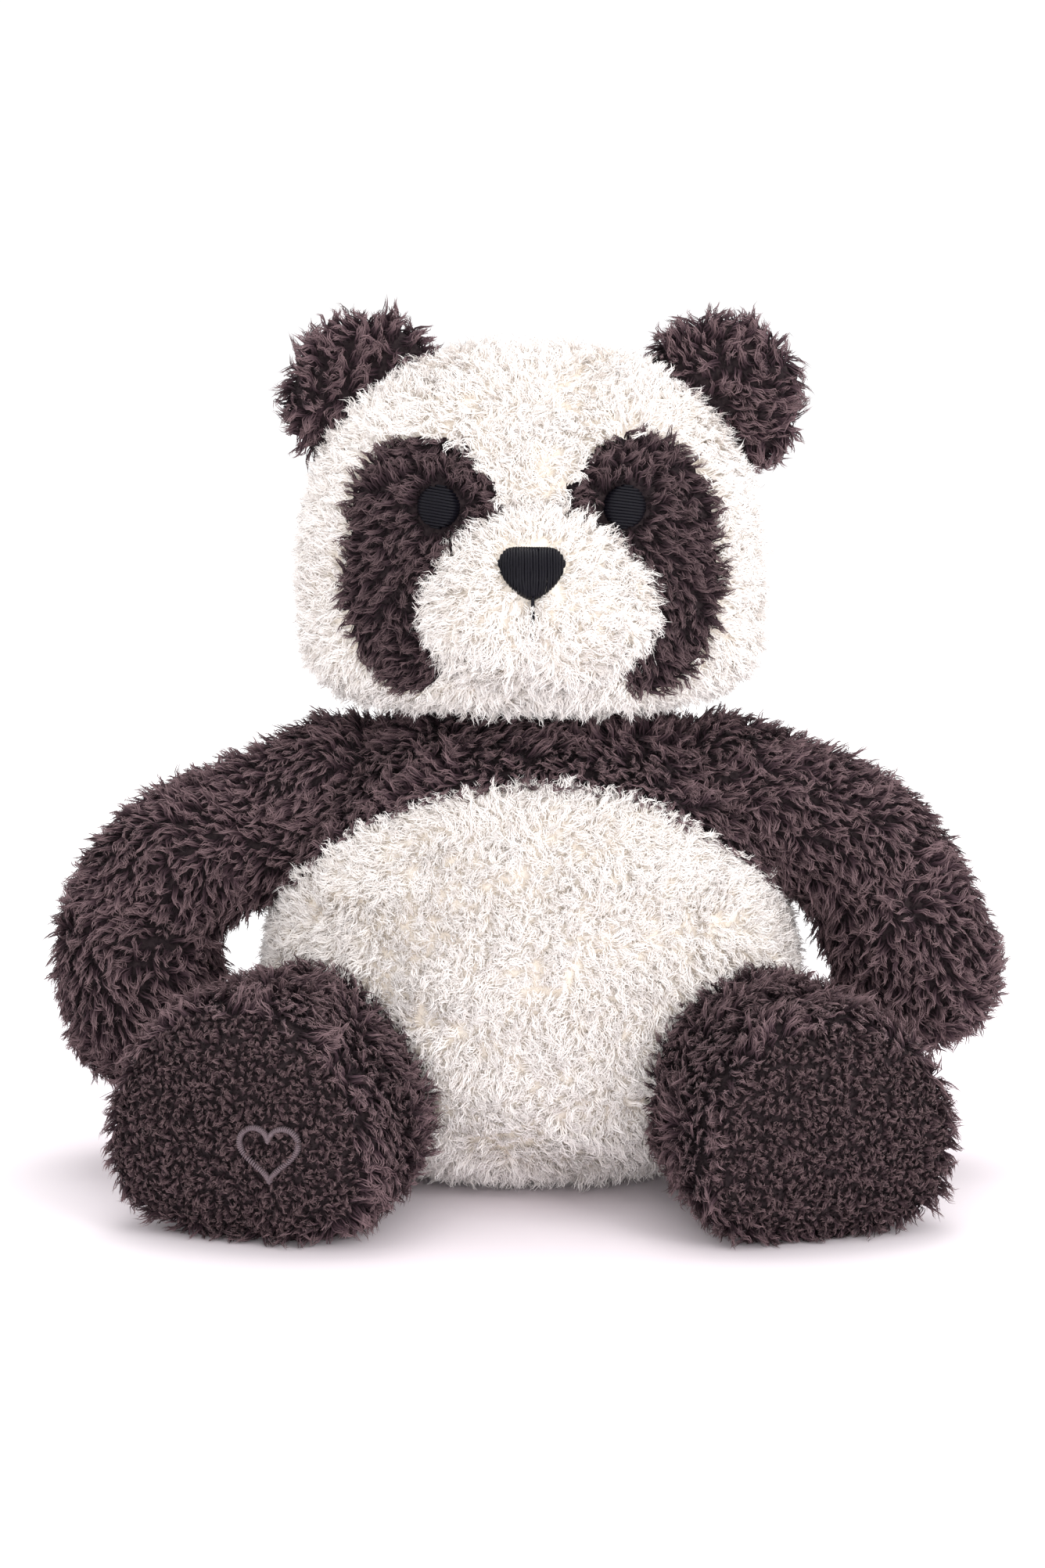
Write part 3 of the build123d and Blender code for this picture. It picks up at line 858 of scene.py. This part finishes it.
# ---- pile on each skin
# Each eye patch is two ovals: place across and up, half width and half height
PATCH_UPPER = (30.0, 196.0, 22.5, 26.5)
PATCH_LOWER = (38.8, 173.4, 14.5, 24.9)
PATCH_LEAN = np.radians(16)
EYE_PLACE, EYE_RADIUS = (26.7, 203.0), 5.9


def in_oval(across, up, oval, lean=0.0):
    """True inside an oval that leans out at its top."""
    x, z = across - oval[0], up - oval[1]
    x, z = x * np.cos(lean) - z * np.sin(lean), z * np.cos(lean) + x * np.sin(lean)
    return (x / oval[2]) ** 2 + (z / oval[3]) ** 2 < 1


def in_patch(points):
    """True on the dark patch round either eye."""
    across = np.abs(points[:, 0])
    oval = in_oval(across, points[:, 2], PATCH_UPPER) | in_oval(across, points[:, 2], PATCH_LOWER, PATCH_LEAN)
    return oval & (points[:, 1] < HEAD_MIDDLE[1])


LONG = dict(
    length=LOCK, lean=36, bow=50, veer=0.7, curl=0.95, waves=1.2, droop=0.10, root_radius=1.2, clump=0.66,
    frizz=0.75, width=0.45, fibres=8, steps=5, locks_in_piece=2700, tuft=3.6, gather=0.55, flutter=0.7,
)
FACE = dict(LONG, length=0.82 * LOCK)
WHITE = dict(
    LONG, length=0.88 * LOCK, curl=1.5, waves=1.4, veer=0.9, clump=0.35, frizz=1.15, width=0.37, fibres=10,
    locks_in_piece=2150, tuft=3.0, gather=0.12, flutter=0.3, root_radius=1.35,
)
LOOPS = dict(
    LONG, length=SHORT_LOCK, tuft=2.2, gather=0.3, lean=20, bow=95, veer=1.4, curl=1.6, waves=1.3, droop=0.0,
    root_radius=0.7, frizz=0.5, width=0.6, clump=0.5, fibres=5,
)
SPACING, WHITE_SPACING, LOOP_SPACING = 2.05, 1.85, 1.38
SCATTER = 0.45  # how much neighbouring locks differ in the way they lie

# A root this deep in a neighbour grows nothing: on the same body, at the neck, and where a limb may lift away
BURIED, BURIED_AT_NECK, BURIED_AT_LIMB, BURIED_THIGH = 1.5, 2.0, 2.5, 9.0


def combed(points, way, strength, wavelength=26.0, waves=6):
    """The way the pile lies: a steady direction, slow random swirls, and scatter from lock to lock."""
    swirl = np.zeros_like(points)
    for _ in range(waves):
        heading = unit(rng.normal(size=3)) * 2 * np.pi / (wavelength * rng.uniform(0.7, 1.4))
        swirl += np.sin(points @ heading + rng.uniform(0, 2 * np.pi))[:, None] * rng.normal(size=3)
    return strength * way + swirl / np.sqrt(waves) + SCATTER * rng.normal(size=points.shape)


# Head
WHORL = (60.0, 190.0)  # the pile lies away from here: in front of the head's middle, and up
EYE_GAP, EYE_COMBED = 0.3, 6.0  # bare cloth round an eye, and how far round it the pile is combed away
roots, normals = roots_on("head", WHITE_SPACING)
seen = (depth_inside("muzzle", roots) < BURIED) & (depth_inside("neck", roots) < BURIED_AT_NECK)
for name in SIDES:
    seen &= depth_inside("ear_" + name, roots) < BURIED
roots, normals = roots[seen], normals[seen]
eye_middles = np.sign(roots[:, :1]) * (EYE_PLACE[0], 0, 0) + (0, 0, EYE_PLACE[1])
from_eye = (roots - eye_middles) * IN_PLAN
eye_gap = np.linalg.norm(from_eye, axis=1)
on_face = roots[:, 1] < HEAD_MIDDLE[1]
keep = ~((eye_gap < EYE_RADIUS + EYE_GAP) & on_face)
near_eye = ((eye_gap < EYE_RADIUS + EYE_COMBED) & on_face)[keep]
roots, normals, from_eye = roots[keep], normals[keep], from_eye[keep]
outward = unit(roots - (0, HEAD_MIDDLE[1] - WHORL[0], WHORL[1]))
comb = combed(roots, 0.9 * outward + 0.35 * DOWN, 1.0)
comb[near_eye] += 4.0 * unit(from_eye[near_eye])
dark = in_patch(roots)
white = ~dark
grow("head_pile", roots[white], normals[white], comb[white], WHITE, white_fibre, "head")
for name, side in SIDES.items():
    here = dark & (roots[:, 0] * side > 0)
    patch = "eye_patch_pile_" + name
    grow(patch, roots[here], normals[here], comb[here], FACE, shaded_patch_fibre, "head")

# Muzzle
NOSE_HALF_WIDTH, NOSE_TOP, NOSE_LOW, MOUTH_LOW = 9.1, 193.3, 178.9, 166.0
NOSE_COMBED = 15.0  # how far from the nose's middle the pile is combed away from it


def nose_edges(across):
    """Top and bottom of the nose at a share of its half width: flat above, a blunt point below."""
    share = np.abs(across)
    return NOSE_TOP - 0.3 - 4.2 * share**6, NOSE_LOW + 7.4 * share**1.6 + 2.3 * share**12


roots, normals = roots_on("muzzle", WHITE_SPACING)
seen = depth_inside("head", roots) < BURIED
roots, normals = roots[seen], normals[seen]
top, bottom = nose_edges(np.clip(roots[:, 0] / NOSE_HALF_WIDTH, -1, 1))
on_nose = (np.abs(roots[:, 0]) < NOSE_HALF_WIDTH) & (roots[:, 2] < top + 0.3) & (roots[:, 2] > bottom - 0.3)
on_nose &= roots[:, 1] < HEAD_LOW[1]
roots, normals = roots[~on_nose], normals[~on_nose]
away = (roots - (0, 0, (NOSE_TOP + NOSE_LOW) / 2)) * IN_PLAN
near_nose = np.linalg.norm(away, axis=1) < NOSE_COMBED
comb = combed(roots, unit(away), 1.1, 18.0) + unit(away) * np.where(near_nose, 3.0, 0)[:, None]
grow("muzzle_pile", roots, normals, comb, WHITE, white_fibre, "head")

# Ears
for name in SIDES:
    roots, normals = roots_on("ear_" + name, SPACING)
    seen = depth_inside("head", roots) < BURIED
    roots, normals = roots[seen], normals[seen]
    low, high = box_mm("ear_front_" + name)
    comb = combed(roots, unit(roots - (low + high) / 2), 0.9, 16.0)
    grow("ear_pile_" + name, roots, normals, comb, LONG, dark_fibre, "head")

# Torso
ARM_ROOT, SEAT_RADIUS, SEAT_LEVEL = 21.0, 38.0, 1.5  # no pile at an arm's root or where the seat is flat
FRINGE_BELOW, FRINGE_WIDTH = 4.0, 5.0  # the white locks just below the yoke are combed up over its seam
roots, normals = roots_on("torso", WHITE_SPACING)
seen = depth_inside("neck", roots) < BURIED_AT_NECK
for name in SIDES:
    seen &= np.linalg.norm(roots - joint_place(f"arm_{name}_lift"), axis=1) > ARM_ROOT
    seen &= depth_inside("leg_" + name, roots) < BURIED_AT_LIMB
seen &= ~((roots[:, 2] < SEAT_LEVEL) & (np.hypot(roots[:, 0], roots[:, 1]) < SEAT_RADIUS))
roots, normals = roots[seen], normals[seen]
above = yoke_side(roots)
dark = above > 0
white = ~dark
fringe = np.exp(-(((above + FRINGE_BELOW) / FRINGE_WIDTH) ** 2))[:, None]
up_seam = unit(roots - (0, 0, YOKE_CENTRE)) * IN_PLAN
comb = combed(roots, DOWN, 0.7) + np.where(dark[:, None], 0, 3.0 * fringe * up_seam)
grow("belly_pile", roots[white], normals[white], comb[white], WHITE, white_fibre, "torso")
grow("yoke_pile", roots[dark], normals[dark], comb[dark], LONG, dark_fibre, "torso")

# Arms: bare only where the torso hides them both at rest and lifted
LIFT = np.radians(45)
for name, side in SIDES.items():
    roots, normals = roots_on("arm_" + name, SPACING)
    shoulder = joint_place(f"arm_{name}_lift")
    cos, sin = np.cos(LIFT), side * np.sin(LIFT)
    lifted = (roots - shoulder) @ np.array([[cos, 0, sin], [0, 1, 0], [-sin, 0, cos]]) + shoulder
    at_rest, at_top = (depth_inside("torso", places) for places in (roots, lifted))
    seen = (at_rest <= BURIED_AT_LIMB) | (at_top <= BURIED_AT_LIMB)
    roots, normals = roots[seen], normals[seen]
    line = arm_lines[name]
    nearest = np.argmin(np.linalg.norm(roots[:, None] - line[None], axis=2), axis=1)
    comb = combed(roots, unit(np.gradient(line, axis=0))[nearest], 0.8)
    grow("arm_pile_" + name, roots, normals, comb, LONG, dark_fibre, "arm_" + name)

# Legs and soles
for name in SIDES:
    roots, normals = roots_on("leg_" + name, SPACING)
    cover = length_along(name, roots) < LEG_LENGTH - SOLE_SEAM
    cover &= depth_inside("torso", roots) < BURIED_THIGH
    cover &= (roots[:, 2] > SEAT_LEVEL) | (rng.random(len(roots)) < 0.5)
    roots, normals = roots[cover], normals[cover]
    comb = combed(roots, leg_axis(name)[1], 0.9)
    grow("leg_pile_" + name, roots, normals, comb, LONG, dark_fibre, "leg_" + name)
    roots, normals = roots_on("leg_" + name, LOOP_SPACING)
    face = length_along(name, roots) >= LEG_LENGTH - SOLE_SEAM
    roots, normals = roots[face], normals[face]
    comb = rng.normal(size=roots.shape)
    grow("sole_pile_" + name, roots, normals, comb, LOOPS, sole_fibre, "leg_" + name)

# ---- embroidered eyes, nose, mouth and motif
IN_FRONT = -200.0
EYE_ROWS, NOSE_ROWS, MOUTH_POINTS = 15, 25, 14
MOUTH_RISE, MOUTH_SINK = 3.9, 2.5  # the mouth's thread sinks into the pile on its way down
EYE_SLANT = np.radians(-8)
along_row = np.array([np.cos(EYE_SLANT), 0, np.sin(EYE_SLANT)])
off_row = np.array([-np.sin(EYE_SLANT), 0, np.cos(EYE_SLANT)])
for name, side in SIDES.items():
    spans = []
    for row in np.linspace(-0.97, 0.97, EYE_ROWS):
        half_run = EYE_RADIUS * np.sqrt(1 - row**2)
        middle = np.array([side * EYE_PLACE[0], IN_FRONT, EYE_PLACE[1]]) + off_row * row * EYE_RADIUS
        spans.append((middle - along_row * half_run, middle + along_row * half_run, row))
    stitches = satin_patch("eye_stitches_" + name, "head", spans, 3.0, 1.2, 0.46, 1.0)
    embroider(stitches, black_thread, "head", "eye_" + name)

spans = []
for row in np.linspace(-0.98, 0.98, NOSE_ROWS):
    top, bottom = nose_edges(row)
    x = row * NOSE_HALF_WIDTH
    spans.append((np.array([x, IN_FRONT, bottom]), np.array([x, IN_FRONT, top]), row))
nose = satin_patch("nose_stitches", "muzzle", spans, 3.2, 1.2, 0.47, 0.8)
embroider(nose, black_thread, "head", "nose")

down_mouth = np.linspace(0, 1, MOUTH_POINTS)
mouth_places = [(0.3, IN_FRONT, z) for z in np.linspace(NOSE_LOW + 1.0, MOUTH_LOW, MOUTH_POINTS)]
hits, _ = on_skin("muzzle", mouth_places, BACKWARDS)
mouth_line = hits - BACKWARDS * (MOUTH_RISE - MOUTH_SINK * down_mouth**0.5)[:, None]
mouth = thread_runs("mouth_stitches", [(mouth_line, np.tile(-BACKWARDS, (MOUTH_POINTS, 1)), 0.55, 0.45)])
embroider(mouth, black_thread, "head", "mouth_stitch")

# A plain heart in short satin stitches on the right foot
MOTIF_PLACE, MOTIF_HALF_WIDTH, STITCH_HALF = (14.0, -7.0), 8.5, 0.7
MOTIF_STITCHES, STITCH_POINTS, OUTSIDE = 110, 7, 30.0
hip, out = leg_axis("right")
across = np.cross(UP, out)
turn = turns(MOTIF_STITCHES)
heart_x = MOTIF_PLACE[0] + MOTIF_HALF_WIDTH * np.sin(turn) ** 3
heart_z = MOTIF_PLACE[1] + MOTIF_HALF_WIDTH / 16 * (
    13 * np.cos(turn) - 5 * np.cos(2 * turn) - 2 * np.cos(3 * turn) - np.cos(4 * turn)
)
heart = hip + out * LEG_LENGTH + heart_x[:, None] * across + heart_z[:, None] * UP
hits, _ = on_skin("leg_right", heart + OUTSIDE * out, -out)
onward = unit(np.roll(hits, -1, axis=0) - np.roll(hits, 1, axis=0))
slanted = unit(np.cross(onward, out)) + 0.25 * onward
share = np.linspace(-1, 1, STITCH_POINTS)[:, None]
arch = (2.6 - 1.3 * share**4) * out
upright = np.tile(out, (STITCH_POINTS, 1))
runs = [(hit + share * STITCH_HALF * way + arch, upright, 0.3, 0.26) for hit, way in zip(hits, slanted)]
motif = thread_runs("foot_motif_stitches", runs, sides=6)
embroider(motif, mauve_thread, "leg_right", "foot_motif")

# ---- what each piece rides on and stands for
SKINS = {
    "head": ("head", white_backing_gap_shade, [
        "face_cover", "head_back_cover", "head_stuffing", "eye_patch_left", "eye_patch_right"
    ]),
    "muzzle": ("head", white_backing_gap_shade, ["muzzle_cover", "muzzle_stuffing"]),
    "torso": ("torso", white_backing_gap_shade, [
        "belly_panel", "back_panel", "seat_panel", "chest_yoke", "back_yoke", "torso_stuffing"
    ]),
    "neck": ("neck", dark_backing_gap_shade, ["neck_stuffing"]),
}
for name in SIDES:
    ear, arm, leg = "ear_" + name, "arm_" + name, "leg_" + name
    SKINS[ear] = ("head", dark_backing_gap_shade, ["ear_front_" + name, "ear_back_" + name, "ear_wadding_" + name])
    SKINS[arm] = (arm, dark_backing_gap_shade, ["arm_front_" + name, "arm_back_" + name, "arm_stuffing_" + name])
    SKINS[leg] = (leg, dark_backing_gap_shade, ["leg_cover_" + name, "sole_" + name, "leg_stuffing_" + name])

for name, skin in skins.items():
    body, backing, stands_for = SKINS[name]
    skin.data.materials.append(backing)
    if name in ("head", "torso"):
        skin.data.materials.append(dark_backing_gap_shade)
        middles = read(skin.data.polygons, "center").astype(float) / MM
        dark = in_patch(middles) if name == "head" else yoke_side(middles) > 0
        skin.data.polygons.foreach_set("material_index", dark.astype(np.int32))
    skin.data.polygons.foreach_set("use_smooth", np.ones(len(skin.data.polygons), bool))
    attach(skin, body)
    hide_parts(*stands_for)

for node, material in (("pellet_pouch", lining), ("pellets", pellet_plastic), ("closing_seam", white_thread)):
    mesh = frame["nodes"][node].data
    mesh.materials.clear()
    mesh.materials.append(material)

# ---- floor, light and camera
FLOOR_HALF = 6.0
floor = bpy.data.meshes.new("floor")
floor_corners = [(x * FLOOR_HALF, y * FLOOR_HALF, 0) for x, y in ((-1, -1), (1, -1), (1, 1), (-1, 1))]
floor.from_pydata(floor_corners, [], [(0, 1, 2, 3)])
floor.materials.append(paper_material())
new_object("floor", floor)

world = bpy.data.worlds.new("studio")
scene.world = world
world.use_nodes = True
set_plain(world.node_tree.nodes["Background"], Color=(1, 1, 1, 1), Strength=1.06)


def facing(place, target):
    """The rotation of a light or camera that looks from the place at the target."""
    return (Vector(target) - Vector(place)).to_track_quat("-Z", "Y").to_euler()


def softbox(name, place, size, power):
    """A square studio light that faces the panda."""
    light = bpy.data.lights.new(name, "AREA")
    light.shape = "SQUARE"
    light.size = size
    light.energy = power
    obj = new_object(name, light)
    obj.location = place
    obj.rotation_euler = facing(place, (0, 0, 0.13))


softbox("key", (1.15, -1.25, 0.85), 0.9, 13.0)
softbox("fill", (-0.1, -1.8, 0.30), 1.0, 8.5)
softbox("top", (0.0, 0.5, 1.9), 1.2, 15.0)

LOOK_AT = Vector((-0.0026, 0, 0.115))
DISTANCE, ELEVATION = 1.25, np.radians(9)
VIEW_HEIGHT = 0.4729  # metres of the scene from the bottom to the top of the picture, at the look-at point
camera_data = bpy.data.cameras.new("camera")
camera_data.sensor_width = 36
camera_data.lens = camera_data.sensor_width * DISTANCE / VIEW_HEIGHT
camera = new_object("camera", camera_data)
camera.location = LOOK_AT + DISTANCE * Vector((0, -np.cos(ELEVATION), np.sin(ELEVATION)))
camera.rotation_euler = facing(camera.location, LOOK_AT)
scene.camera = camera
scene.view_settings.view_transform = "Standard"
